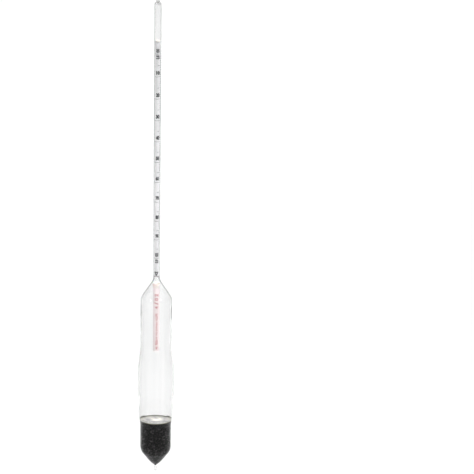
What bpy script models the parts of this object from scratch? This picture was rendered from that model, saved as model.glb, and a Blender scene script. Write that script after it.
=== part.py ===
"""A sealed glass hydrometer: a long drawn stem on a blown float, ballasted with shot.

Frame: origin at the lowest point of the float, on its axis; +Z up along the axis. Metres.
Every piece is a body of revolution, so each is an outline of (radius, height) points turned about Z.
"""

import math

import bpy
from mathutils import Vector

MM = 0.001
GAP = 0.30 * MM  # clearance between pieces that touch or are fused on the real one
FIT = 0.12 * MM  # clearance of the rolled paper in the stem's bore

# Overall
LENGTH = 330.0 * MM
NECK_Z = 135.4 * MM  # where the shoulder's cone meets the stem

# Stem: a drawn tube, thicker at its top than at the neck
STEM_TOP_R = 2.33 * MM
STEM_NECK_R = 2.07 * MM
STEM_WALL = 0.30 * MM
STEM_DOME = 1.3 * MM  # how far the stem's round top sinks to its sides
CROWN_WALL = 0.54 * MM  # glass over the bore at the top
TIP_R = 1.25 * MM  # the bead that seals the stem
TIP_HEIGHT = 2.6 * MM
TIP_DOME = 1.4 * MM
TIP_CHAMFER = 0.3 * MM

# Fused ring at the neck
WELD_R = 2.30 * MM
WELD_HEIGHT = 1.6 * MM

# Float
FLOAT_WALL = 0.50 * MM
UPPER_R = 10.4 * MM
BELLY_R = 11.9 * MM
WAIST_R = 11.2 * MM
CHAMBER_R = 10.2 * MM
POINT_R = 0.9 * MM
POINT_Z = 4.3 * MM
POINT_SINK = 0.3 * MM  # the flat end of the point is this far below its edge
POINT_WALL = 0.5 * MM  # glass over the point, inside
BEAD_R = 0.85 * MM
BEAD_MIDDLE = 1.1 * MM  # height of the bead's widest part
BEAD_TOP_R = 0.5 * MM

# Papers
SCALE_TOP_Z = 299.5 * MM
SCALE_BOTTOM_Z = 137.2 * MM
PAPER_THICK = 0.15 * MM
LABEL_R = 2.2 * MM
LABEL_TOP_Z = 128.7 * MM
LABEL_BOTTOM_Z = 84.7 * MM

# Glue: a ring on the scale's top edge, and a collar from the label up to the throat of the float
SCALE_GLUE_HEIGHT = 1.2 * MM
SCALE_GLUE_HOLE = 0.6 * MM
SCALE_GLUE_CHAMFER = 0.4 * MM
LABEL_GLUE_HEIGHT = 2.9 * MM
LABEL_GLUE_WALL = 0.6 * MM

# Ballast
SEAL_TOP_Z = 35.8 * MM
SEAL_THICK = 1.6 * MM
MENISCUS = 0.7 * MM  # how far the resin climbs the glass
MENISCUS_WIDTH = 2.1 * MM
MENISCUS_POWER = 2.5
SHOT_POINT_R = 0.7 * MM
SHOT_POINT_RISE = 0.35 * MM
SHOT_POINT_CLEAR = 0.9 * MM  # from the inside of the float's point up to the lowest shot

FINE = 56  # facets round the float and its ballast
SLIM = 32  # facets round the stem and what is in it
BEND_STEP = math.radians(12.0)  # the most that one facet of a rounded corner turns
LEAST_ROUNDING = 0.25  # share of a corner's rounding that its inner side keeps at least
DOME_STEPS = 5
BULGE_STEPS = 6
BEAD_STEPS = 4
DISH_STEPS = 5

CORNERS_OF_FLOAT = (
    # radius, height, rounding radius
    (STEM_NECK_R, NECK_Z - GAP, 0.0),
    (STEM_NECK_R, NECK_Z - 1.0 * MM, 1.6 * MM),
    (UPPER_R, 121.3 * MM, 6.0 * MM),
    (UPPER_R, 87.0 * MM, 30.0 * MM),
    (BELLY_R, 73.0 * MM, 24.0 * MM),
    (BELLY_R, 55.0 * MM, 10.0 * MM),
    (WAIST_R, 50.0 * MM, 10.0 * MM),
    (WAIST_R, 40.0 * MM, 7.0 * MM),
    (CHAMBER_R, 32.5 * MM, 6.0 * MM),
    (CHAMBER_R, 14.4 * MM, 8.5 * MM),
    (POINT_R, POINT_Z, 0.0),
)


def clear_scene():
    for ob in list(bpy.data.objects):
        bpy.data.objects.remove(ob, do_unlink=True)


def make_material(name, colour, roughness, metallic=0.0, transmission=0.0):
    material = bpy.data.materials.new(name)
    material.use_nodes = True
    shader = material.node_tree.nodes["Principled BSDF"]
    shader.inputs["Base Color"].default_value = (*colour, 1.0)
    shader.inputs["Roughness"].default_value = roughness
    shader.inputs["Metallic"].default_value = metallic
    shader.inputs["Transmission Weight"].default_value = transmission
    return material


def glass_material(name):
    return make_material(name, (0.93, 0.95, 0.94), 0.03, transmission=1.0)


def paper_material(name, colour):
    return make_material(name, colour, 0.75)


def glue_material(name):
    return make_material(name, (0.86, 0.84, 0.80), 0.35)


def shot_material(name):
    return make_material(name, (0.035, 0.033, 0.034), 0.42, metallic=0.7)


def resin_material(name):
    return make_material(name, (0.83, 0.76, 0.58), 0.12)


def bend_points(corner, before, after, radius):
    """Points along the arc that rounds one corner of an outline, tangent to both its sides."""
    centre = Vector(corner)
    back = (Vector(before) - centre).normalized()
    ahead = (Vector(after) - centre).normalized()
    half = back.angle(ahead) / 2
    reach = radius / math.tan(half)
    start = centre + back * reach
    middle = centre + (back + ahead).normalized() * (radius / math.sin(half))
    sweep = math.pi - 2 * half
    steps = max(2, math.ceil(sweep / BEND_STEP))
    arm = start - middle
    turn = 1.0 if arm.cross(ahead) > 0 else -1.0
    points = []
    for step in range(steps + 1):
        angle = turn * sweep * step / steps
        points.append(
            (
                middle.x + arm.x * math.cos(angle) - arm.y * math.sin(angle),
                middle.y + arm.x * math.sin(angle) + arm.y * math.cos(angle),
            )
        )
    return points


def rounded_outline(corners):
    """An outline through (radius, height, rounding) corners, with its rounded corners as arcs."""
    points = []
    for index, (radius, height, rounding) in enumerate(corners):
        if rounding == 0.0:
            points.append((radius, height))
            continue
        before = corners[index - 1][:2]
        after = corners[index + 1][:2]
        points += bend_points((radius, height), before, after, rounding)
    return points


def inset_corners(corners, depth):
    """The same corners moved inwards by depth, square to each side of the outline."""
    sides = []
    for (r0, z0, _), (r1, z1, _) in zip(corners, corners[1:]):
        along = Vector((r1 - r0, z1 - z0)).normalized()
        inward = Vector((along.y, -along.x))
        if inward.x > 0:
            inward.negate()
        sides.append((Vector((r0, z0)) + inward * depth, along))
    moved = []
    for index, (_, height, rounding) in enumerate(corners):
        here, along = sides[min(index, len(sides) - 1)]
        before, along_before = sides[max(index - 1, 0)]
        crossing = along_before.cross(along)
        if abs(crossing) < 1e-6:
            reach = (height - here.y) / along.y
            point = here + along * reach
        else:
            reach = (here - before).cross(along) / crossing
            point = before + along_before * reach
        tightened = max(rounding - depth, LEAST_ROUNDING * rounding)
        moved.append((point.x, point.y, tightened))
    return moved


def radius_at(outline, height):
    """The radius of a downward-running outline at one height."""
    for (r0, z0), (r1, z1) in zip(outline, outline[1:]):
        if z1 <= height <= z0:
            return r0 + (r1 - r0) * (z0 - height) / max(z0 - z1, 1e-9)
    raise ValueError("the outline doesn't reach this height")


def stem_radius(height):
    """The stem's outer radius: it tapers evenly from its top to the neck."""
    share = (height - NECK_Z) / (LENGTH - NECK_Z)
    return STEM_NECK_R + (STEM_TOP_R - STEM_NECK_R) * share


def turned(name, outline, facets, material, collection, ring=False):
    """Turn an outline about Z. It runs down the outer side; ring joins its end to its start."""
    count = len(outline)
    edges = [(i, i + 1) for i in range(count - 1)]
    if ring:
        edges.append((count - 1, 0))
    mesh = bpy.data.meshes.new(name)
    mesh.from_pydata([(r, 0.0, z) for r, z in outline], edges, [])
    mesh.materials.append(material)
    ob = bpy.data.objects.new(name, mesh)
    collection.objects.link(ob)
    screw = ob.modifiers.new("Turn", "SCREW")
    screw.axis = "Z"
    screw.steps = facets
    screw.render_steps = facets
    screw.use_merge_vertices = True
    screw.merge_threshold = 0.01 * MM
    screw.use_smooth_shade = True
    return ob


def round_end(radius, top, sink):
    """A quarter ellipse from the axis at top, out to radius and down by sink."""
    points = []
    for step in range(DOME_STEPS + 1):
        angle = math.pi / 2 * step / DOME_STEPS
        points.append((radius * math.sin(angle), top - sink * (1 - math.cos(angle))))
    return points


def make_stem_tube(collection):
    """Drawn tube with a domed top, open at the neck."""
    top = LENGTH - TIP_HEIGHT
    bottom = NECK_Z + WELD_HEIGHT + GAP
    outer_r = stem_radius(top - STEM_DOME)
    outer = round_end(outer_r, top, STEM_DOME)
    inner = round_end(outer_r - STEM_WALL, top - CROWN_WALL, STEM_DOME)
    foot = [(stem_radius(bottom), bottom), (stem_radius(bottom) - STEM_WALL, bottom)]
    outline = outer + foot + list(reversed(inner))
    return turned("stem_tube", outline, SLIM, glass_material("stem_glass"), collection)


def make_stem_tip(collection):
    """Solid bead that closes the top of the stem."""
    base = LENGTH - TIP_HEIGHT + GAP
    outline = round_end(TIP_R, LENGTH, TIP_DOME)
    outline += [(TIP_R, base + TIP_CHAMFER), (TIP_R - TIP_CHAMFER, base), (0.0, base)]
    return turned("stem_tip", outline, SLIM, glass_material("tip_glass"), collection)


def make_neck_weld(collection):
    """Ring of fused glass between the stem and the float."""
    top = NECK_Z + WELD_HEIGHT
    bore = STEM_NECK_R - STEM_WALL
    bulge = []
    for step in range(BULGE_STEPS + 1):
        angle = math.pi * step / BULGE_STEPS
        reach = STEM_NECK_R + (WELD_R - STEM_NECK_R) * math.sin(angle)
        bulge.append((reach, top - WELD_HEIGHT * step / BULGE_STEPS))
    outline = bulge + [(bore, NECK_Z), (bore, top)]
    return turned("neck_weld", outline, SLIM, glass_material("weld_glass"), collection, ring=True)


def make_float_shell(collection):
    """Blown float: shoulder, body, belly, ballast chamber and pointed bottom, open at the neck."""
    outer = rounded_outline(CORNERS_OF_FLOAT)
    inner = rounded_outline(inset_corners(CORNERS_OF_FLOAT, FLOAT_WALL))
    bore = STEM_NECK_R - STEM_WALL
    inner = [(max(r, bore), z) for r, z in inner[:-1]]
    inner[0] = (bore, NECK_Z - GAP)
    outline = [(0.0, inner_point())] + list(reversed(inner)) + outer + [(0.0, POINT_Z - POINT_SINK)]
    return turned("float_shell", outline, FINE, glass_material("float_glass"), collection)


def inner_point():
    """Height of the point of the space inside the float."""
    return POINT_Z + POINT_WALL


def make_tip_bead(collection):
    """Solid drop of glass under the float's point."""
    top = POINT_Z - POINT_SINK - GAP
    outline = [(0.0, top), (BEAD_TOP_R, top)]
    for step in range(BEAD_STEPS + 1):
        angle = math.pi / 2 * step / BEAD_STEPS
        outline.append((BEAD_R * math.cos(angle), BEAD_MIDDLE * (1 - math.sin(angle))))
    outline[-1] = (0.0, 0.0)
    return turned("tip_bead", outline, SLIM, glass_material("bead_glass"), collection)


def paper_roll(name, radius_at_top, radius_at_bottom, top, bottom, colour, collection):
    """A strip rolled into a thin open tube."""
    outline = [
        (radius_at_top, top),
        (radius_at_bottom, bottom),
        (radius_at_bottom - PAPER_THICK, bottom),
        (radius_at_top - PAPER_THICK, top),
    ]
    return turned(name, outline, SLIM, paper_material(name + "_stock", colour), collection, ring=True)


def scale_radius(height):
    """The scale's outer radius, which follows the taper of the stem's bore."""
    return stem_radius(height) - STEM_WALL - FIT


def make_papers(collection):
    top_r = scale_radius(SCALE_TOP_Z)
    bottom_r = scale_radius(SCALE_BOTTOM_Z)
    white = (0.90, 0.90, 0.88)
    pink = (0.92, 0.80, 0.80)
    paper_roll("scale_paper", top_r, bottom_r, SCALE_TOP_Z, SCALE_BOTTOM_Z, white, collection)
    paper_roll("label_paper", LABEL_R, LABEL_R, LABEL_TOP_Z, LABEL_BOTTOM_Z, pink, collection)


def make_scale_glue(collection):
    """Ring of glue that holds the top edge of the scale."""
    base = SCALE_TOP_Z + GAP
    crown = base + SCALE_GLUE_HEIGHT
    wide = scale_radius(base)
    hole = SCALE_GLUE_HOLE
    outline = [
        (wide - SCALE_GLUE_CHAMFER, crown),
        (wide, crown - SCALE_GLUE_CHAMFER),
        (wide, base),
        (hole, base),
        (hole, crown),
    ]
    turned("scale_glue", outline, SLIM, glue_material("scale_glue_bead"), collection, ring=True)


def make_label_glue(collection):
    """Collar of glue that hangs the label from the throat of the float."""
    foot = LABEL_TOP_Z + GAP
    top = foot + LABEL_GLUE_HEIGHT
    throat = radius_at(space_inside(), top)
    outline = [
        (throat, top),
        (LABEL_R, foot),
        (LABEL_R - LABEL_GLUE_WALL, foot),
        (throat - LABEL_GLUE_WALL, top),
    ]
    turned("label_glue", outline, SLIM, glue_material("label_glue_bead"), collection, ring=True)


def space_inside():
    """Outline of the space inside the float, running down, less the clearance to the glass."""
    corners = inset_corners(CORNERS_OF_FLOAT, FLOAT_WALL + GAP)
    return rounded_outline(corners)


def make_ballast_shot(collection):
    """The bed of shot, as one solid that fills the bottom of the float."""
    space = space_inside()
    top = SEAL_TOP_Z - SEAL_THICK - GAP
    lowest = inner_point() + SHOT_POINT_CLEAR
    below = [(r, z) for r, z in space[:-1] if z < top - GAP]
    outline = [(0.0, top), (radius_at(space, top), top)] + below
    outline += [(SHOT_POINT_R, lowest + SHOT_POINT_RISE), (0.0, lowest)]
    return turned("ballast_shot", outline, FINE, shot_material("shot"), collection)


def make_ballast_seal(collection):
    """Resin disc poured over the shot, drawn up a little where it wets the glass."""
    space = space_inside()
    foot = SEAL_TOP_Z - SEAL_THICK
    rim = SEAL_TOP_Z + MENISCUS
    edge = radius_at(space, rim)
    flat = edge - MENISCUS_WIDTH
    dish = []
    for step in range(DISH_STEPS + 1):
        share = step / DISH_STEPS
        height = SEAL_TOP_Z + MENISCUS * share ** MENISCUS_POWER
        dish.append((flat + MENISCUS_WIDTH * share, height))
    middle = (rim + foot) / 2
    wall = [(radius_at(space, middle), middle), (radius_at(space, foot), foot)]
    outline = [(0.0, SEAL_TOP_Z)] + dish + wall + [(0.0, foot)]
    return turned("ballast_seal", outline, FINE, resin_material("seal_resin"), collection)


def build_hydrometer():
    clear_scene()
    collection = bpy.data.collections.new("hydrometer")
    bpy.context.scene.collection.children.link(collection)
    make_stem_tube(collection)
    make_stem_tip(collection)
    make_neck_weld(collection)
    make_float_shell(collection)
    make_tip_bead(collection)
    make_papers(collection)
    make_scale_glue(collection)
    make_label_glue(collection)
    make_ballast_shot(collection)
    make_ballast_seal(collection)


build_hydrometer()
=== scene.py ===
"""The looks of a sealed glass hydrometer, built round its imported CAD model. Metres, +Z up."""

import math
import random

import bmesh
import bpy
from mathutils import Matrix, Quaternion, Vector
from mathutils.kdtree import KDTree


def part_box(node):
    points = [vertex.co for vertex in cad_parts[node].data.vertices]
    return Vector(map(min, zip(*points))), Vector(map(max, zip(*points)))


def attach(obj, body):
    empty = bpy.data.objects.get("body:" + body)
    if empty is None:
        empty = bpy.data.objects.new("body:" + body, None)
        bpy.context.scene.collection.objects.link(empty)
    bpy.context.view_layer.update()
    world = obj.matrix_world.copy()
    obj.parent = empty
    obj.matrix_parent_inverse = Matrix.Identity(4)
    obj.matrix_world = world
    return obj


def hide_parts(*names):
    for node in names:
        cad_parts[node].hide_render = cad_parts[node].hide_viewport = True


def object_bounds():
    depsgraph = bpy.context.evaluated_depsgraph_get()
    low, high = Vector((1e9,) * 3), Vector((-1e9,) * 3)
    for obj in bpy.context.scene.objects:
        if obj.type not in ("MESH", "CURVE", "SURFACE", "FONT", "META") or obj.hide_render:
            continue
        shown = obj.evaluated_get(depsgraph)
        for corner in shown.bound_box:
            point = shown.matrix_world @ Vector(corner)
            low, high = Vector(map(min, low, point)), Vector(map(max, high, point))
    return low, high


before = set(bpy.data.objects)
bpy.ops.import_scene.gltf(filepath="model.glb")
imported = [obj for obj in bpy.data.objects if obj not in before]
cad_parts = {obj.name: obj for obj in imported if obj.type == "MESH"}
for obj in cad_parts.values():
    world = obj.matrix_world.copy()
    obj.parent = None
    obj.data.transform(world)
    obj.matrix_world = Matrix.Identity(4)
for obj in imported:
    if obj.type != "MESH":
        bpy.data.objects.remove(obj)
cad_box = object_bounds()

MM = 0.001
SEED = 41

# Tolerances
ON_PLANE = 1e-7  # a point nearer than this to the axis or to the half-plane lies on it
SAME_HEIGHT = 1e-8
SAME_RADIUS = 1e-6

# Camera
ELEVATION = math.radians(18.9)
LEAN = math.radians(0.45)  # the hydrometer's axis leans this much to the right in the picture
DISTANCE = 9.0
SENSOR = 36.0
FRAME_WIDTH = 313.3 * MM  # what the picture takes in, at the hydrometer
AIM_X = 53.08 * MM  # the middle of the picture is this far to the right of the axis
AIM_Z = 164.4 * MM
NEAR_CLIP = 0.5
FAR_CLIP = 40.0

# Studio
FLOOR_DROP = 0.12  # the hydrometer hangs this far over the floor
FLOOR_REACH = 12.0  # from the middle of the floor to its edges
WORLD_STRENGTH = 0.38

# Facets
ROUND = 128  # round the float
SLENDER = 80  # round the stem
STEM_GLUE_ROUND = 48
NECK_GLUE_ROUND = 64
STEP = 0.8 * MM  # between the rings of a turned surface
QUARTER_STEPS = 14
ROLL_FACET = math.radians(4.5)
SHARP = math.radians(50.0)  # edges of a paper sharper than this stay crisp

# Glass of the float
FLOAT_WALL = 0.85 * MM
CHAMBER_WALL = 0.12 * MM  # the resin and the shot wet the glass, so there it is optically one with them
CHAMBER_BLEND = 12.0 * MM  # height over which the wall gets its full thickness again
SHOULDER_WALL = 0.42 * MM
SHOULDER_LOW = 106.0 * MM
SHOULDER_HIGH = 120.0 * MM
CREASE = 0.05 * MM  # depth of the crease under the neck's ring
NECK_SWELL = 0.4 * MM  # how far the neck's ring stands into the bore
NECK_STEPS = 16
BEAD_MIDDLE = 1.1 * MM  # height of the bead's widest ring
BEAD_STEPS = 8
POINT_R = 0.55 * MM  # where the bead and the float's point meet
LIP_R = 0.62 * MM
LIP_RISE = 0.12 * MM
POINT_RISE = 0.3 * MM  # from here up the float has its CAD outline
INSIDE_RISE = 0.1 * MM  # the inside of the point is this far over the joint with the bead
LEAST_INSIDE_R = 0.35 * MM  # below this the inside runs straight to its point

# Glass of the stem
STEM_WALL = 0.30 * MM
STEM_DOME = 1.3 * MM
CROWN_WALL = 0.36 * MM  # thickness of the dome at its top
DOME_RIM_R = 0.95 * MM  # where the dome and the tip meet
TIP_WAIST_R = 0.97 * MM
TIP_WAIST_RISE = 0.1 * MM
TIP_SHOULDER_RISE = 0.7 * MM
TIP_DOME = 1.4 * MM

# Rolled papers
PAPER = 0.10 * MM
ROLL_PITCH = 0.13 * MM
ROLL_OVERLAP = math.radians(75.0)
SCALE_SEAM = math.radians(108.0)  # of the free outer edge, from the front round to the right
LABEL_SEAM = math.radians(-115.0)
SCALE_SLANT = 1.0 * MM  # how far off square the strip's top edge was cut

# Print
INK = 0.025 * MM  # how far the print stands on the paper
INK_GAP = 0.004 * MM
BAR_FACET = 0.2 * MM  # width of the faces that make up a bar
WRAP_FACET = 0.16 * MM  # width of the strips that follow the roll

# Printed scale: density in g/ml
FIRST_DENSITY = 0.800
LAST_DENSITY = 0.900
DIVISIONS = 100
FIRST_LINE_Z = 291.7 * MM
LAST_LINE_Z = 149.7 * MM
TICK = 0.22 * MM
LONG_START = -67.0  # of the division lines, in degrees from the front round to the right
MIDDLE_START = 0.0
SHORT_START = 40.0
TICK_END = 102.0
NUMERAL_HEIGHT = 2.8 * MM
NUMERAL_WIDTH = 1.35  # times the roll's radius
NUMERAL_RISE = 2.8 * MM  # from a long line up to the middle of its numeral
END_DROP = 2.2 * MM  # from an end's line down to the middle of its first figures
END_RISE = 2.3 * MM
MARK_DROP = 10.6 * MM  # from the last line down to the triangle

# Printed label
LABEL_WORDS = "20/4"  # a usual pair of reference temperatures
LABEL_TOP_MARGIN = 4.8 * MM  # down to the middle of the first figure
LABEL_FOOT_MARGIN = 1.2 * MM
LABEL_PITCH = 2.9 * MM
LABEL_SPACE = 1.5 * MM
BAR_GAP = 0.35 * MM
WORD_GAP = 0.9 * MM

# Glue
COLLAR_WALL = 0.5 * MM  # of the collar over the label

# Ballast
SHOT_R = 0.52 * MM
SHOT_INSET = 1.15 * SHOT_R  # from the glass to the middles of the shot that lie against it
SHOT_PITCH = 2.05 * SHOT_R
SHOT_ROW = 1.78 * SHOT_R
SHOT_APART = 2.1 * SHOT_R
SHOT_JITTER = 0.5  # times the radius, before the shot is pushed apart
SHOT_PUSH = 0.4
SHOT_ROUNDS = 6
SHOT_LOW = 0.4 * MM  # from the inside of the float's point to the lowest middle
SHOT_HIGH = 0.2 * MM  # from the foot of the resin to the highest middle
SHOT_SIZES = (0.86, 1.08)  # times the radius
TONE_BIAS = 2.0  # over 1, more of the shot is dark than light
CORE_INSET = 1.5 * SHOT_R
CORE_LOW = 0.7 * MM
CORE_POINT = 0.2 * MM
CORE_LEAST_R = 0.05 * MM
SEAL_GAP = 0.02 * MM  # between the resin and the glass
MENISCUS = 2.0 * MM
MENISCUS_CURVE = 2.4
MENISCUS_STEPS = 12
SEAL_SIDE_STEP = 0.3 * MM
SEAL_FLAT_STEPS = 16
SEAL_SIDE = 0.6 * MM  # upright faces this close to the rim are the disc's side
UPRIGHT = 0.3  # a face is upright if its normal rises or falls less than this


# ---------------------------------------------------------------- reading the frame


def outline_edges(node):
    """The edges of a turned CAD node that lie in the half-plane y = 0, x >= 0, as (radius, height) pairs."""
    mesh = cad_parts[node].data
    half = [v for v in mesh.vertices if abs(v.co.y) < ON_PLANE and v.co.x > -ON_PLANE]
    flat = {v.index: (v.co.x, v.co.z) for v in half}
    pairs = [tuple(e.vertices) for e in mesh.edges]
    return [(flat[a], flat[b]) for a, b in pairs if a in flat and b in flat]


def outer_points(node):
    """The (height, radius) points of a turned CAD node's outer side, from the lowest up."""
    edges = outline_edges(node)

    def reach(z):
        widest = 0.0
        for (r0, z0), (r1, z1) in edges:
            if min(z0, z1) - SAME_HEIGHT <= z <= max(z0, z1) + SAME_HEIGHT:
                level = abs(z1 - z0) <= SAME_HEIGHT
                share = 1.0 if level else (z - z0) / (z1 - z0)
                widest = max(widest, r0 + (r1 - r0) * share, r0 if level else 0.0)
        return widest

    points = {}
    for edge in edges:
        for r, z in edge:
            if r > reach(z) - SAME_RADIUS:
                points[round(z, 7)] = max(r, points.get(round(z, 7), 0.0))
    return sorted(points.items())


def smooth_curve(points):
    """A function through (x, y) points that bends evenly and never overshoots them."""
    xs = [p[0] for p in points]
    ys = [p[1] for p in points]
    slopes = [(y1 - y0) / (x1 - x0) for x0, x1, y0, y1 in zip(xs, xs[1:], ys, ys[1:])]
    tangents = [slopes[0]]
    for before, after in zip(slopes, slopes[1:]):
        tangents.append(2 * before * after / (before + after) if before * after > 0 else 0.0)
    tangents.append(slopes[-1])

    def at(x):
        x = min(max(x, xs[0]), xs[-1])
        i = max(k for k in range(len(xs) - 1) if xs[k] <= x)
        width = xs[i + 1] - xs[i]
        t = (x - xs[i]) / width
        return (
            (2 * t**3 - 3 * t**2 + 1) * ys[i]
            + (t**3 - 2 * t**2 + t) * width * tangents[i]
            + (3 * t**2 - 2 * t**3) * ys[i + 1]
            + (t**3 - t**2) * width * tangents[i + 1]
        )

    return at


def straight_line(low, high):
    """A function along the straight line through two (x, y) points."""
    (x0, y0), (x1, y1) = low, high
    return lambda x: y0 + (y1 - y0) * (x - x0) / (x1 - x0)


def box_top(node):
    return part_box(node)[1].z


def box_bottom(node):
    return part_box(node)[0].z


def box_radius(node):
    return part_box(node)[1].x


def joint_between(lower, upper):
    """The height at which two fused pieces of glass meet."""
    return (box_top(lower) + box_bottom(upper)) / 2


POINT_JOINT = joint_between("tip_bead", "float_shell")
NECK_JOINT = joint_between("float_shell", "neck_weld")
STEM_JOINT = joint_between("neck_weld", "stem_tube")
TIP_JOINT = joint_between("stem_tube", "stem_tip")
SEAL_RIM = box_top("ballast_seal")
INSIDE_POINT = POINT_JOINT + INSIDE_RISE

float_radius = smooth_curve(outer_points("float_shell"))
stem_radius = straight_line(*outer_points("stem_tube")[:2])  # the stem tapers evenly
NECK_R = float_radius(box_top("float_shell"))
BORE_R = NECK_R - STEM_WALL
CREASE_R = NECK_R - CREASE


# ---------------------------------------------------------------- meshes


def spread(low, high, step):
    """Evenly spaced values from low to high, no more than a step apart."""
    count = max(1, math.ceil((high - low) / step))
    return [low + (high - low) * i / count for i in range(count + 1)]


def add_object(name, data):
    ob = bpy.data.objects.new(name, data)
    bpy.context.scene.collection.objects.link(ob)
    return ob


def new_object(name, mesh, smooth=True):
    mesh.validate()
    mesh.update()
    if smooth:
        mesh.shade_smooth()
    return add_object(name, mesh)


def turned_faces(profiles, segments):
    """Vertices and faces of (radius, height) profiles turned about Z. A profile that runs up faces out."""
    verts, faces = [], []
    for profile in profiles:
        rings = []
        for r, z in profile:
            if r < ON_PLANE:
                rings.append([len(verts)] * segments)
                verts.append((0.0, 0.0, z))
                continue
            rings.append(list(range(len(verts), len(verts) + segments)))
            for k in range(segments):
                angle = 2 * math.pi * k / segments
                verts.append((r * math.cos(angle), r * math.sin(angle), z))
        for low, high in zip(rings, rings[1:]):
            for k in range(segments):
                m = (k + 1) % segments
                corners = [low[k], low[m], high[m], high[k]]
                face = [c for i, c in enumerate(corners) if c not in corners[:i]]
                if len(face) > 2:
                    faces.append(face)
    return verts, faces


def turned(name, profiles, segments):
    verts, faces = turned_faces(profiles, segments)
    mesh = bpy.data.meshes.new(name)
    mesh.from_pydata(verts, [], faces)
    return new_object(name, mesh)


def quarter(radius, top, sink):
    """A quarter ellipse from radius at top - sink, up to the axis at top."""
    points = []
    for step in range(QUARTER_STEPS + 1):
        angle = math.pi / 2 * step / QUARTER_STEPS
        points.append((radius * math.cos(angle), top - sink * (1 - math.sin(angle))))
    points[-1] = (0.0, top)
    return points


def finish_piece(ob, material, nodes):
    """Give a piece its material and its body, and hide the CAD nodes it stands for."""
    ob.data.materials.clear()
    ob.data.materials.append(material)
    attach(ob, "root")
    if nodes:
        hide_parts(*nodes)


# ---------------------------------------------------------------- materials


class Tree:
    """A material's node tree with its Principled shader, and short ways to add to it."""

    def __init__(self, name):
        self.material = bpy.data.materials.new(name)
        self.material.use_nodes = True
        self.nodes = self.material.node_tree.nodes
        self.links = self.material.node_tree.links
        self.shader = self.nodes["Principled BSDF"]
        self.output = self.nodes["Material Output"]
        self.place = self.nodes.new("ShaderNodeTexCoord").outputs["Object"]

    def set(self, **values):
        for socket, value in values.items():
            self.shader.inputs[socket.replace("_", " ")].default_value = value

    def noise(self, scale, stretch=(1.0, 1.0, 1.0), detail=3.0, roughness=0.55):
        mapping = self.nodes.new("ShaderNodeMapping")
        mapping.inputs["Scale"].default_value = stretch
        self.links.new(self.place, mapping.inputs["Vector"])
        node = self.nodes.new("ShaderNodeTexNoise")
        node.inputs["Scale"].default_value = scale
        node.inputs["Detail"].default_value = detail
        node.inputs["Roughness"].default_value = roughness
        self.links.new(mapping.outputs["Vector"], node.inputs["Vector"])
        return node.outputs["Fac"]

    def ramp(self, value, stops):
        """stops are (position, colour) pairs."""
        node = self.nodes.new("ShaderNodeValToRGB")
        elements = node.color_ramp.elements
        while len(elements) > len(stops):
            elements.remove(elements[-1])
        while len(elements) < len(stops):
            elements.new(0.5)
        for element, (position, colour) in zip(elements, stops):
            element.position = position
            element.color = (*colour, 1.0)
        self.links.new(value, node.inputs["Fac"])
        return node.outputs["Color"]

    def span(self, value, low, high, start=0.0, end=1.0):
        """value, from start to end, turned into low to high."""
        node = self.nodes.new("ShaderNodeMapRange")
        node.inputs["From Min"].default_value = start
        node.inputs["From Max"].default_value = end
        node.inputs["To Min"].default_value = low
        node.inputs["To Max"].default_value = high
        self.links.new(value, node.inputs["Value"])
        return node.outputs["Result"]

    def shaken(self, value, noise, amount):
        """value with an amount of noise added."""
        node = self.nodes.new("ShaderNodeMath")
        node.operation = "MULTIPLY_ADD"
        node.inputs[1].default_value = amount
        self.links.new(noise, node.inputs[0])
        self.links.new(value, node.inputs[2])
        return node.outputs["Value"]

    def reach(self, scale, shift=0.0):
        """Distance from the Z axis times a scale, with its middle shifted forwards or back."""
        flat = self.nodes.new("ShaderNodeVectorMath")
        flat.operation = "MULTIPLY_ADD"
        flat.inputs[1].default_value = (scale, scale, 0.0)
        flat.inputs[2].default_value = (0.0, shift, 0.0)
        self.links.new(self.place, flat.inputs[0])
        length = self.nodes.new("ShaderNodeVectorMath")
        length.operation = "LENGTH"
        self.links.new(flat.outputs["Vector"], length.inputs[0])
        return length.outputs["Value"]

    def bump(self, height, strength, distance):
        node = self.nodes.new("ShaderNodeBump")
        node.inputs["Strength"].default_value = strength
        node.inputs["Distance"].default_value = distance
        self.links.new(height, node.inputs["Height"])
        self.links.new(node.outputs["Normal"], self.shader.inputs["Normal"])

    def multiplied(self, first, second):
        node = self.nodes.new("ShaderNodeMix")
        node.data_type = "RGBA"
        node.blend_type = "MULTIPLY"
        node.inputs["Factor"].default_value = 1.0
        self.links.new(first, node.inputs["A"])
        self.links.new(second, node.inputs["B"])
        return node.outputs["Result"]

    def colour(self, value):
        self.links.new(value, self.shader.inputs["Base Color"])

    def roughness(self, value):
        self.links.new(value, self.shader.inputs["Roughness"])


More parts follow.
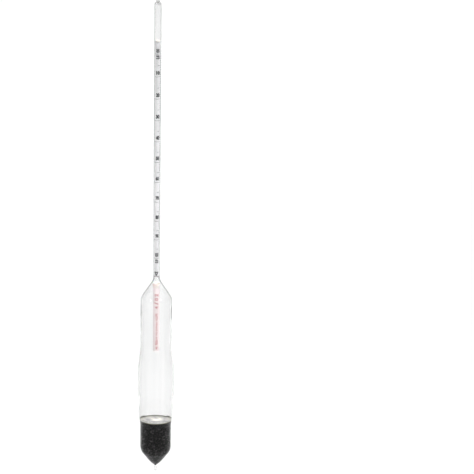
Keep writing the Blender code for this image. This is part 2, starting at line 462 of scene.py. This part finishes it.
def glass_material(name, ripple, clear, edge, fineness, ior=1.47):
    """Clear drawn glass: it greys a little towards its edges, has fine cords along it, and lets light in."""
    tree = Tree(name)
    tree.set(Transmission_Weight=1.0, IOR=ior, Roughness=0.0)
    facing = tree.nodes.new("ShaderNodeLayerWeight")
    facing.inputs["Blend"].default_value = 0.5
    light, grey = (1 + 2 * clear) / 3, (edge + clear) / 2
    stops = [(0.0, clear), (0.16, light), (0.42, edge), (0.66, grey), (0.92, 1.0)]
    body = tree.ramp(facing.outputs["Facing"], [(at, (tone, tone, tone)) for at, tone in stops])
    cords = tree.ramp(
        tree.noise(fineness, stretch=(1.0, 1.0, 0.02), detail=2.0),
        [(0.35, (0.965, 0.97, 0.97)), (0.62, (1.0, 1.0, 1.0))],
    )
    tree.colour(tree.multiplied(body, cords))
    tree.bump(tree.noise(90.0, stretch=(1.0, 1.0, 0.12), detail=2.0), ripple, 0.2 * MM)
    lit = tree.nodes.new("ShaderNodeBsdfTransparent")
    lit.inputs["Color"].default_value = (0.97, 0.975, 0.972, 1.0)
    path = tree.nodes.new("ShaderNodeLightPath")
    mix = tree.nodes.new("ShaderNodeMixShader")
    tree.links.new(path.outputs["Is Shadow Ray"], mix.inputs["Fac"])
    tree.links.new(tree.shader.outputs["BSDF"], mix.inputs[1])
    tree.links.new(lit.outputs["BSDF"], mix.inputs[2])
    tree.links.new(mix.outputs["Shader"], tree.output.inputs["Surface"])
    return tree.material


def paper_material(name, light, dark):
    tree = Tree(name)
    tree.set(Specular_IOR_Level=0.25)
    fibre = tree.noise(2600.0, stretch=(1.0, 1.0, 0.35), detail=5.0, roughness=0.7)
    tree.colour(tree.ramp(fibre, [(0.25, dark), (0.75, light)]))
    tree.roughness(tree.span(fibre, 0.70, 0.92))
    tree.bump(fibre, 0.25, 0.03 * MM)
    return tree.material


def ink_material(name, deep, worn):
    tree = Tree(name)
    tree.set(Specular_IOR_Level=0.3)
    patch = tree.noise(3200.0, detail=4.0)
    tree.colour(tree.ramp(patch, [(0.35, deep), (0.8, worn)]))
    tree.roughness(tree.span(patch, 0.45, 0.7))
    return tree.material


def glue_material(name, light, dark):
    tree = Tree(name)
    tree.set(Subsurface_Weight=0.2, Subsurface_Scale=0.6 * MM)
    cloud = tree.noise(900.0, detail=4.0)
    tree.colour(tree.ramp(cloud, [(0.3, dark), (0.7, light)]))
    tree.roughness(tree.span(cloud, 0.25, 0.5))
    tree.bump(cloud, 0.4, 0.08 * MM)
    return tree.material


def shot_material():
    """Dark, dull shot. Each has its own tone, which the mesh carries."""
    tree = Tree("dark_shot")
    tree.set(Metallic=0.2, Specular_IOR_Level=0.1)
    tone = tree.nodes.new("ShaderNodeAttribute")
    tone.attribute_name = "tone"
    stops = [(0.0, (0.002, 0.002, 0.002)), (0.5, (0.016, 0.0145, 0.015)), (1.0, (0.17, 0.16, 0.162))]
    own = tree.ramp(tone.outputs["Fac"], stops)
    grain = tree.noise(1800.0, detail=4.0)
    tree.colour(tree.multiplied(own, tree.ramp(grain, [(0.3, (0.6, 0.6, 0.6)), (0.7, (1.0, 1.0, 1.0))])))
    tree.roughness(tree.span(grain, 0.35, 0.6))
    tree.bump(grain, 0.3, 0.03 * MM)
    return tree.material


def resin_material(edge):
    """Poured resin: a painted cream highlight in the middle, cloudy, fading through olive to painted shade
    towards the sides, dark at its outline.
    """
    tree = Tree("poured_resin")
    tree.set(IOR=1.48, Coat_Weight=0.25, Coat_Roughness=0.05)
    cloud = tree.noise(240.0, detail=3.0)
    highlight_distance = tree.reach(0.75 / edge, shift=-0.165)  # the painted highlight sits a little behind the middle, so the front rim takes the deepest painted shade
    # painted light: a cream highlight in the middle, then grey and olive down to near-black painted shade at
    # the rim
    rings = tree.ramp(
        tree.shaken(highlight_distance, cloud, 0.07),
        [
            (0.22, (0.90, 0.86, 0.75)),
            (0.38, (0.50, 0.485, 0.46)),
            (0.62, (0.41, 0.40, 0.37)),
            (0.76, (0.24, 0.225, 0.16)),
            (0.93, (0.07, 0.06, 0.03)),
        ],
    )
    clouds = tree.ramp(cloud, [(0.38, (0.50, 0.49, 0.54)), (0.56, (1.0, 1.0, 0.98))])
    outline = tree.ramp(tree.reach(1.0 / edge), [(0.90, (1.0, 1.0, 1.0)), (0.98, (0.16, 0.15, 0.12))])
    tree.colour(tree.multiplied(tree.multiplied(rings, clouds), outline))
    tree.roughness(tree.span(cloud, 0.05, 0.2))
    tree.bump(tree.noise(420.0, detail=2.0), 0.5, 0.4 * MM)
    return tree.material


def resin_side_material(low, rim):
    """The disc's side against the glass: black where shot shows through, olive towards its thin rim."""
    tree = Tree("resin_side")
    tree.set(Specular_IOR_Level=0.1, Roughness=0.5)
    parts = tree.nodes.new("ShaderNodeSeparateXYZ")
    tree.links.new(tree.place, parts.inputs["Vector"])
    rise = tree.span(parts.outputs["Z"], 0.0, 1.0, start=low, end=rim)
    stops = [(0.86, (0.004, 0.004, 0.004)), (0.96, (0.05, 0.045, 0.02)), (1.0, (0.15, 0.14, 0.065))]
    tree.colour(tree.ramp(tree.shaken(rise, tree.noise(420.0), 0.3), stops))
    return tree.material


# ---------------------------------------------------------------- glass


def eased(z, low, high):
    share = min(max((z - low) / (high - low), 0.0), 1.0)
    return share * share * (3 - 2 * share)


def float_wall(z):
    body = CHAMBER_WALL + (FLOAT_WALL - CHAMBER_WALL) * eased(z, SEAL_RIM, SEAL_RIM + CHAMBER_BLEND)
    return body + (SHOULDER_WALL - FLOAT_WALL) * eased(z, SHOULDER_LOW, SHOULDER_HIGH)


def offset_inwards(profile, depth_at):
    """The profile moved towards the inside, square to itself."""
    moved = []
    for i, (r, z) in enumerate(profile):
        r0, z0 = profile[max(i - 1, 0)]
        r1, z1 = profile[min(i + 1, len(profile) - 1)]
        along = Vector((r1 - r0, z1 - z0)).normalized()
        depth = depth_at(z)
        moved.append((r - along.y * depth, z + along.x * depth))
    return moved


def float_side():
    """The float's outside where it has its CAD outline, from its point up."""
    low = box_bottom("float_shell") + POINT_RISE
    return [(float_radius(z), z) for z in spread(low, box_top("float_shell"), STEP)]


def float_outer():
    foot = [(POINT_R, POINT_JOINT), (LIP_R, POINT_JOINT + LIP_RISE)]
    return foot + float_side() + [(CREASE_R, NECK_JOINT)]


def float_inner():
    """The inside of the float, from its point up."""
    side = offset_inwards(float_side(), float_wall)
    side = [(max(r, BORE_R), z) if z > box_top("label_paper") else (r, z) for r, z in side]
    side = [(r, z) for r, z in side if r > LEAST_INSIDE_R and z > INSIDE_POINT]
    return [(0.0, INSIDE_POINT)] + side + [(BORE_R, NECK_JOINT)]


def inside_radius():
    """The radius of the space inside the float as a function of height."""
    return smooth_curve(sorted({round(z, 7): r for r, z in float_inner()}.items()))


def make_float():
    """The float's outside, and its inside above the ballast, which wets the glass below."""
    dry = [(r, z) for r, z in float_inner() if z > SEAL_RIM]
    ob = turned("float_glass", [float_outer(), list(reversed(dry))], ROUND)
    glass = glass_material("float_glass", ripple=0.10, clear=0.996, edge=0.96, fineness=260.0)
    finish_piece(ob, glass, ["float_shell"])


def make_tip_bead():
    """The bead under the float's point, with the waist that joins it to the point."""
    radius = box_radius("tip_bead")
    under = [(r, max(BEAD_MIDDLE - z, 0.0)) for r, z in reversed(quarter(radius, BEAD_MIDDLE, BEAD_MIDDLE))]
    waist = []
    for step in range(1, BEAD_STEPS + 1):
        share = (1 - math.cos(math.pi * step / BEAD_STEPS)) / 2
        z = BEAD_MIDDLE + (POINT_JOINT - BEAD_MIDDLE) * step / BEAD_STEPS
        waist.append((radius + (POINT_R - radius) * share, z))
    ob = turned("tip_bead_glass", [under + waist], SLENDER)
    glass = glass_material("bead_glass", ripple=0.1, clear=0.97, edge=0.95, fineness=900.0)
    finish_piece(ob, glass, ["tip_bead"])


def make_neck_ring():
    """A thick fused ring, fuller inside and outside than the tubes that it joins."""
    outside = box_radius("neck_weld") - NECK_R
    outer, inner = [], []
    for step in range(NECK_STEPS + 1):
        share = step / NECK_STEPS
        z = NECK_JOINT + (STEM_JOINT - NECK_JOINT) * share
        swell = math.sin(math.pi * share)
        outer.append((CREASE_R + (stem_radius(z) - CREASE_R) * share + outside * swell, z))
        inner.append((BORE_R - NECK_SWELL * swell, z))
    ob = turned("neck_ring_glass", [outer, list(reversed(inner))], SLENDER)
    glass = glass_material("neck_glass", ripple=0.1, clear=0.93, edge=0.88, fineness=900.0, ior=1.52)
    finish_piece(ob, glass, ["neck_weld"])


def make_stem():
    """The scale's tube with its domed end, and the bore inside it."""
    top = box_top("stem_tube")
    dome = [(r, z) for r, z in quarter(stem_radius(top - STEM_DOME), top, STEM_DOME) if r > DOME_RIM_R]
    side = [(stem_radius(z), z) for z in spread(STEM_JOINT, top - STEM_DOME, 4 * STEP)]
    outer = side[:-1] + dome + [(DOME_RIM_R, TIP_JOINT)]
    crown = top - CROWN_WALL
    bore = [(stem_radius(z) - STEM_WALL, z) for z in spread(STEM_JOINT, crown - STEM_DOME, 4 * STEP)]
    inner = bore[:-1] + quarter(stem_radius(crown - STEM_DOME) - STEM_WALL, crown, STEM_DOME)
    ob = turned("stem_glass", [outer, list(reversed(inner))], SLENDER)
    glass = glass_material("stem_glass", ripple=0.02, clear=0.965, edge=0.95, fineness=900.0)
    finish_piece(ob, glass, ["stem_tube"])


def make_stem_tip():
    """The bead of glass where the stem was pulled off and sealed."""
    radius = box_radius("stem_tip")
    waist = [(DOME_RIM_R, TIP_JOINT), (TIP_WAIST_R, TIP_JOINT + TIP_WAIST_RISE)]
    side = waist + [(radius, TIP_JOINT + TIP_SHOULDER_RISE)]
    ob = turned("stem_tip_glass", [side + quarter(radius, box_top("stem_tip"), TIP_DOME)], SLENDER)
    glass = glass_material("tip_glass", ripple=0.06, clear=0.97, edge=0.94, fineness=900.0, ior=1.3)
    finish_piece(ob, glass, ["stem_tip"])


# ---------------------------------------------------------------- rolled papers and their print


class Roll:
    """A strip of paper rolled into a tube with an overlap. Its free outer edge is at the seam angle."""

    def __init__(self, node, radius_at, seam):
        self.top = box_top(node)
        self.bottom = box_bottom(node)
        self.radius_at = radius_at
        self.seam = seam
        self.sweep = 2 * math.pi + ROLL_OVERLAP

    def radius(self, angle, z):
        """Radius of the outside of the roll where its outer turn passes an angle."""
        return self.radius_at(z) - ROLL_PITCH * (self.seam - angle) / (2 * math.pi)

    def point(self, angle, z, lift=0.0):
        r = self.radius(angle, z) + lift
        return Vector((r * math.sin(angle), -r * math.cos(angle), z))

    def wrapped(self, across, z, lift):
        """Where a point of the flat artwork, across from the middle of the front, comes to lie."""
        return self.point(across / self.radius_at(z), z, lift)

    def make(self, name, slant=0.0):
        """The strip itself: an outer and an inner side, closed along its edges."""
        turns = spread(0.0, self.sweep, ROLL_FACET)
        heights = spread(self.bottom, self.top, 4 * STEP)
        bm = bmesh.new()
        layers = []
        for lift in (0.0, -PAPER):
            rows = []
            for z in heights:
                row = []
                for turn in turns:
                    top_share = (z - self.bottom) / (self.top - self.bottom)
                    cut = slant * (turn / self.sweep) * top_share**8
                    row.append(bm.verts.new(self.point(self.seam - turn, z - cut, lift)))
                rows.append(row)
            layers.append(rows)
        outer, inner = layers
        for i in range(len(heights) - 1):
            for j in range(len(turns) - 1):
                bm.faces.new((outer[i][j + 1], outer[i][j], outer[i + 1][j], outer[i + 1][j + 1]))
                bm.faces.new((inner[i][j], inner[i][j + 1], inner[i + 1][j + 1], inner[i + 1][j]))
        for j in range(len(turns) - 1):
            bm.faces.new((outer[0][j], outer[0][j + 1], inner[0][j + 1], inner[0][j]))
            bm.faces.new((outer[-1][j + 1], outer[-1][j], inner[-1][j], inner[-1][j + 1]))
        for i in range(len(heights) - 1):
            bm.faces.new((outer[i + 1][0], outer[i][0], inner[i][0], inner[i + 1][0]))
            bm.faces.new((outer[i][-1], outer[i + 1][-1], inner[i + 1][-1], inner[i][-1]))
        bmesh.ops.recalc_face_normals(bm, faces=bm.faces)
        mesh = bpy.data.meshes.new(name)
        bm.to_mesh(mesh)
        bm.free()
        ob = new_object(name, mesh)
        mesh.set_sharp_from_angle(angle=SHARP)
        return ob


class Artwork:
    """Flat shapes to be printed: x is across from the middle of the front, y is the height."""

    def __init__(self):
        self.bm = bmesh.new()

    def bar(self, left, right, low, high):
        columns = spread(left, right, BAR_FACET)
        rows = [[self.bm.verts.new((x, y, 0.0)) for x in columns] for y in (low, high)]
        for j in range(len(columns) - 1):
            self.bm.faces.new((rows[0][j], rows[0][j + 1], rows[1][j + 1], rows[1][j]))

    def triangle(self, x, y, width, height, hollow):
        """A frame that points down, with a smaller triangle left out of it."""
        loops = []
        for size in (1.0, hollow):
            corners = ((-width / 2, height / 3), (0.0, -2 * height / 3), (width / 2, height / 3))
            loops.append([self.bm.verts.new((x + size * cx, y + size * cy, 0.0)) for cx, cy in corners])
        for k in range(3):
            m = (k + 1) % 3
            self.bm.faces.new((loops[0][k], loops[0][m], loops[1][m], loops[1][k]))

    def text(self, words, x, y, height, width, weight, sideways=False):
        """Letters of the built-in font, centred on a point, scaled to a height and a width."""
        curve = bpy.data.curves.new("words", "FONT")
        curve.body = words
        curve.offset = weight
        curve.resolution_u = 4
        ob = add_object("words", curve)
        graph = bpy.context.evaluated_depsgraph_get()
        mesh = bpy.data.meshes.new_from_object(ob.evaluated_get(graph))
        xs = [v.co.x for v in mesh.vertices]
        ys = [v.co.y for v in mesh.vertices]
        scale_y = height / (max(ys) - min(ys))
        scale_x = width / (max(xs) - min(xs))
        middle = Vector(((max(xs) + min(xs)) / 2, (max(ys) + min(ys)) / 2))
        for v in mesh.vertices:
            across = (v.co.x - middle.x) * scale_x
            up = (v.co.y - middle.y) * scale_y
            v.co = (x - up, y + across, 0.0) if sideways else (x + across, y + up, 0.0)
        self.bm.from_mesh(mesh)
        bpy.data.objects.remove(ob)
        bpy.data.curves.remove(curve)
        bpy.data.meshes.remove(mesh)

    def print_on(self, roll, name, material):
        """Cut the artwork into narrow upright strips, wrap it round a roll and give it a little body."""
        xs = [v.co.x for v in self.bm.verts]
        for x in spread(min(xs), max(xs), WRAP_FACET)[1:-1]:
            geometry = list(self.bm.verts) + list(self.bm.edges) + list(self.bm.faces)
            bmesh.ops.bisect_plane(self.bm, geom=geometry, plane_co=(x, 0, 0), plane_no=(1, 0, 0), dist=1e-9)
        for v in self.bm.verts:
            v.co = roll.wrapped(v.co.x, v.co.y, INK_GAP)
        mesh = bpy.data.meshes.new(name)
        self.bm.to_mesh(mesh)
        self.bm.free()
        ob = new_object(name, mesh, smooth=False)
        body = ob.modifiers.new("Body", "SOLIDIFY")
        body.thickness = INK
        body.offset = 1.0
        finish_piece(ob, material, [])


def density_height(density):
    """Height of a density's line: the length of stem under the surface goes as one over the density."""
    share = (1 / FIRST_DENSITY - 1 / density) / (1 / FIRST_DENSITY - 1 / LAST_DENSITY)
    return FIRST_LINE_Z + (LAST_LINE_Z - FIRST_LINE_Z) * share


def tick_start(unit):
    """Where a division line starts, in degrees from the front: the tens are long, the fives middling."""
    if unit % 10 == 0:
        return LONG_START
    return MIDDLE_START if unit % 5 == 0 else SHORT_START


def angle_across(roll, degrees, z):
    """Distance across the flat artwork of an angle from the front."""
    return math.radians(degrees) * roll.radius_at(z)


def draw_end_figures(art, density, z):
    """A density at an end of the scale, set sideways: its first figures under its line, its last over it."""
    figures = f"{density:.3f}"
    for part, y in ((figures[:3], z - END_DROP), (figures[3:], z + END_RISE)):
        art.text(part, x=0.1 * MM, y=y, height=2.4 * MM, width=2.7 * MM, weight=0.06, sideways=True)


def make_scale():
    points = outer_points("scale_paper")
    roll = Roll("scale_paper", straight_line(points[0], points[-1]), SCALE_SEAM)
    stock = paper_material("scale_stock", light=(0.93, 0.92, 0.93), dark=(0.86, 0.85, 0.87))
    finish_piece(roll.make("scale_roll", slant=SCALE_SLANT), stock, ["scale_paper"])
    art = Artwork()
    for unit in range(DIVISIONS + 1):
        z = density_height(FIRST_DENSITY + (LAST_DENSITY - FIRST_DENSITY) * unit / DIVISIONS)
        left = angle_across(roll, tick_start(unit), z)
        right = angle_across(roll, TICK_END, z)
        art.bar(left, right, z - TICK / 2, z + TICK / 2)
        if unit % 10 == 0 and 0 < unit < DIVISIONS:
            y = z + NUMERAL_RISE
            width = NUMERAL_WIDTH * roll.radius_at(z)
            art.text(str(unit), x=0.25 * MM, y=y, height=NUMERAL_HEIGHT, width=width, weight=0.075)
    draw_end_figures(art, FIRST_DENSITY, FIRST_LINE_Z)
    draw_end_figures(art, LAST_DENSITY, LAST_LINE_Z)
    art.triangle(-0.1 * MM, LAST_LINE_Z - MARK_DROP, width=2.9 * MM, height=3.2 * MM, hollow=0.36)
    ink = ink_material("scale_ink", deep=(0.03, 0.03, 0.035), worn=(0.09, 0.09, 0.10))
    art.print_on(roll, "scale_print", ink)


def draw_word_bars(art, first, last):
    """Plain bars of uneven length in groups, as a line of words set sideways, down to a last height."""
    rng = random.Random(SEED)
    z = first
    while z > last:
        for _ in range(rng.randint(3, 7)):
            length = rng.uniform(0.35, 0.75) * MM
            left = rng.uniform(0.1, 0.6) * MM
            right = rng.uniform(0.5, 1.1) * MM
            if z - length > last:
                art.bar(-left, right, z - length, z)
            z -= length + BAR_GAP
        z -= WORD_GAP


def make_label():
    radius = box_radius("label_paper")
    roll = Roll("label_paper", lambda z: radius, LABEL_SEAM)
    stock = paper_material("label_stock", light=(0.97, 0.89, 0.88), dark=(0.95, 0.82, 0.83))
    finish_piece(roll.make("label_roll"), stock, ["label_paper"])
    art = Artwork()
    z = box_top("label_paper") - LABEL_TOP_MARGIN
    for figure in LABEL_WORDS:
        art.text(figure, x=0.15 * MM, y=z, height=2.5 * MM, width=1.9 * MM, weight=0.04, sideways=True)
        z -= LABEL_PITCH
    draw_word_bars(art, z - LABEL_SPACE, box_bottom("label_paper") + LABEL_FOOT_MARGIN)
    ink = ink_material("label_ink", deep=(0.62, 0.28, 0.30), worn=(0.76, 0.46, 0.48))
    art.print_on(roll, "label_print", ink)


# ---------------------------------------------------------------- glue, shot and seal


def make_scale_glue():
    """A ring of glue over the scale's top edge, open in the middle."""
    low, high = box_bottom("scale_glue"), box_top("scale_glue")
    r = box_radius("scale_glue")
    outer = [(r * 0.98, low), (r, low + 0.2 * MM), (r * 0.97, high - 0.4 * MM), (r * 0.82, high)]
    inner = [(r * 0.55, high - 0.1 * MM), (r * 0.35, low + 0.3 * MM), (r * 0.4, low), (r * 0.98, low)]
    ob = turned("scale_glue_ring", [outer + inner], STEM_GLUE_ROUND)
    glue = glue_material("scale_glue", light=(0.9, 0.89, 0.87), dark=(0.75, 0.72, 0.70))
    finish_piece(ob, glue, ["scale_glue"])


def make_label_glue():
    """A collar of glue from the label's top edge up to the throat of the float, where it is wider."""
    low, high = box_top("label_paper"), box_top("label_glue")
    points = outer_points("label_glue")
    foot, crown = points[0][1], points[-1][1]
    outer = [(foot + (crown - foot) * s, low + (high - low) * s) for s in (0.0, 0.25, 0.5, 0.75, 1.0)]
    inner = [(r - COLLAR_WALL, z) for r, z in reversed(outer)]
    ob = turned("label_glue_collar", [outer + inner + [outer[0]]], NECK_GLUE_ROUND)
    glue = glue_material("label_glue", light=(0.96, 0.90, 0.86), dark=(0.90, 0.80, 0.77))
    finish_piece(ob, glue, ["label_glue"])


def shot_places():
    """Middles of the shot that lie against the glass, pushed apart until they spread evenly."""
    rng = random.Random(SEED)
    inside = inside_radius()
    low = INSIDE_POINT + SHOT_LOW
    high = box_bottom("ballast_seal") + SHOT_HIGH
    near = 0.1 * MM
    places = []
    z = low
    while z < high:
        r = max(inside(z) - SHOT_INSET, 0.0)
        count = max(1, int(2 * math.pi * r / SHOT_PITCH))
        phase = rng.random()
        for k in range(count):
            angle = 2 * math.pi * (k + phase) / count
            places.append([angle, z])
        slope = (inside(z + near) - inside(z - near)) / (2 * near)
        z += SHOT_ROW / math.sqrt(1 + slope * slope)

    def stand(angle, height):
        r = max(inside(height) - SHOT_INSET, 0.0)
        return Vector((r * math.cos(angle), r * math.sin(angle), height))

    for place in places:
        r = max(inside(place[1]), SHOT_R)
        place[0] += rng.uniform(-SHOT_JITTER, SHOT_JITTER) * SHOT_R / r
        place[1] += rng.uniform(-SHOT_JITTER, SHOT_JITTER) * SHOT_R
    for _ in range(SHOT_ROUNDS):
        spots = [stand(*p) for p in places]
        tree = KDTree(len(spots))
        for i, spot in enumerate(spots):
            tree.insert(spot, i)
        tree.balance()
        for i, spot in enumerate(spots):
            push = Vector()
            for other, j, distance in tree.find_range(spot, SHOT_APART):
                if j != i and distance > 1e-9:
                    push += (spot - other) / distance * (SHOT_APART - distance) * SHOT_PUSH
            moved = spot + push
            places[i][0] = math.atan2(moved.y, moved.x)
            places[i][1] = min(max(moved.z, low), high)
    return [stand(*p) for p in places]


def make_shot():
    """Round shot against the glass, over a dark mass of the shot behind it."""
    rng = random.Random(SEED + 1)
    ball = bmesh.new()
    bmesh.ops.create_icosphere(ball, subdivisions=2, radius=1.0)
    shape = [v.co.copy() for v in ball.verts]
    corners = [[v.index for v in f.verts] for f in ball.faces]
    ball.free()
    verts, faces, tones = [], [], []
    for place in shot_places():
        size = SHOT_R * rng.uniform(*SHOT_SIZES)
        tones += [rng.random() ** TONE_BIAS] * len(shape)
        turn = Quaternion([rng.gauss(0, 1) for _ in range(4)]).normalized()
        start = len(verts)
        verts += [tuple(place + (turn @ co) * size) for co in shape]
        faces += [[start + i for i in face] for face in corners]
    mesh = bpy.data.meshes.new("shot_grains")
    mesh.from_pydata(verts, [], faces)
    mesh.attributes.new("tone", "FLOAT", "POINT").data.foreach_set("value", tones)
    material = shot_material()
    finish_piece(new_object("shot_grains", mesh), material, ["ballast_shot"])
    inside = inside_radius()
    low = INSIDE_POINT + CORE_LOW
    high = box_bottom("ballast_seal")
    side = [(max(inside(z) - CORE_INSET, CORE_LEAST_R), z) for z in spread(low, high, STEP)]
    core = turned("shot_core", [[(0.0, low - CORE_POINT)] + side + [(0.0, high)]], ROUND)
    finish_piece(core, material, [])


def seal_flat_height():
    """Height of the seal's flat middle: that of the innermost CAD point of its top."""
    middle = (box_bottom("ballast_seal") + box_top("ballast_seal")) / 2
    return min(point for edge in outline_edges("ballast_seal") for point in edge if point[1] > middle)[1]


def make_seal():
    """The resin disc: flat in the middle, climbing where it wets the glass."""
    inside = inside_radius()
    low = box_bottom("ballast_seal")
    top = seal_flat_height()
    edge = inside(SEAL_RIM) - SEAL_GAP
    flat = edge - MENISCUS
    profile = [(0.0, low)]
    profile += [(inside(z) - SEAL_GAP, z) for z in spread(low, SEAL_RIM, SEAL_SIDE_STEP)]
    for step in range(1, MENISCUS_STEPS + 1):
        share = 1 - step / MENISCUS_STEPS
        profile.append((flat + (edge - flat) * share, top + (SEAL_RIM - top) * share**MENISCUS_CURVE))
    steps = range(1, SEAL_FLAT_STEPS + 1)
    profile += [(flat * (1 - step / SEAL_FLAT_STEPS), top) for step in steps]
    ob = turned("seal_disc", [profile], ROUND)
    finish_piece(ob, resin_material(edge), ["ballast_seal"])
    ob.data.materials.append(resin_side_material(low, SEAL_RIM))
    for face in ob.data.polygons:
        if abs(face.normal.z) < UPRIGHT and Vector(face.center[:2]).length > edge - SEAL_SIDE:
            face.material_index = 1


# ---------------------------------------------------------------- floor, lights, camera


def make_floor():
    bm = bmesh.new()
    bmesh.ops.create_grid(bm, x_segments=8, y_segments=8, size=FLOOR_REACH)
    mesh = bpy.data.meshes.new("floor")
    bm.to_mesh(mesh)
    bm.free()
    ob = new_object("floor", mesh)
    ob.location.z = cad_box[0].z - FLOOR_DROP
    tree = Tree("floor_white")
    tree.set(Roughness=0.9, Specular_IOR_Level=0.1)
    tree.colour(tree.ramp(tree.noise(3.0), [(0.0, (0.88, 0.88, 0.88)), (1.0, (0.91, 0.91, 0.91))]))
    mesh.materials.append(tree.material)


def place_light(light, place, target):
    ob = add_object(light.name, light)
    ob.location = place
    ob.rotation_mode = "QUATERNION"
    ob.rotation_quaternion = (Vector(target) - Vector(place)).to_track_quat("-Z", "Y")


def spot(name, place, target, power, angle, blend, radius):
    light = bpy.data.lights.new(name, "SPOT")
    light.energy = power
    light.spot_size = math.radians(angle)
    light.spot_blend = blend
    light.shadow_soft_size = radius
    place_light(light, place, target)


def panel(name, place, target, power, width, height, beam=180.0):
    light = bpy.data.lights.new(name, "AREA")
    light.shape = "RECTANGLE"
    light.spread = math.radians(beam)
    light.size = width
    light.size_y = height
    light.energy = power
    place_light(light, place, target)


def make_lights():
    """Soft light all round, a lit floor and a bright wall behind, and two spots from the front."""
    world = bpy.data.worlds.new("studio")
    bpy.context.scene.world = world
    world.use_nodes = True
    background = world.node_tree.nodes["Background"]
    background.inputs["Color"].default_value = (1.0, 1.0, 1.0, 1.0)
    background.inputs["Strength"].default_value = WORLD_STRENGTH
    middle = (0.0, 0.0, 0.17)
    pool = (0.06, 0.85)
    panel("back_pool", (*pool, 1.3), (*pool, -FLOOR_DROP), power=3.6, width=0.95, height=1.7, beam=36.0)
    panel("back_wall", (0.0, 2.6, 0.95), (0.0, 0.0, 0.15), power=11.0, width=3.4, height=1.5)
    spot("key", (1.3, -1.5, 1.5), middle, power=80.0, angle=12.0, blend=0.3, radius=0.18)
    spot("fill", (-1.6, -1.3, 1.3), middle, power=58.0, angle=12.0, blend=0.3, radius=0.25)


def make_camera():
    back = Vector((0.0, -math.cos(ELEVATION), math.sin(ELEVATION)))
    data = bpy.data.cameras.new("camera")
    data.sensor_width = SENSOR
    data.lens = SENSOR * DISTANCE / FRAME_WIDTH
    data.clip_start = NEAR_CLIP
    data.clip_end = FAR_CLIP
    ob = add_object("camera", data)
    ob.location = Vector((AIM_X, 0.0, AIM_Z)) + back * DISTANCE
    ob.rotation_mode = "QUATERNION"
    ob.rotation_quaternion = (-back).to_track_quat("-Z", "Y") @ Quaternion((0.0, 0.0, 1.0), LEAN)
    bpy.context.scene.camera = ob


make_camera()
make_lights()
make_floor()
make_float()
make_tip_bead()
make_neck_ring()
make_stem()
make_stem_tip()
make_scale()
make_label()
make_scale_glue()
make_label_glue()
make_shot()
make_seal()
bpy.context.scene.view_settings.view_transform = "Standard"
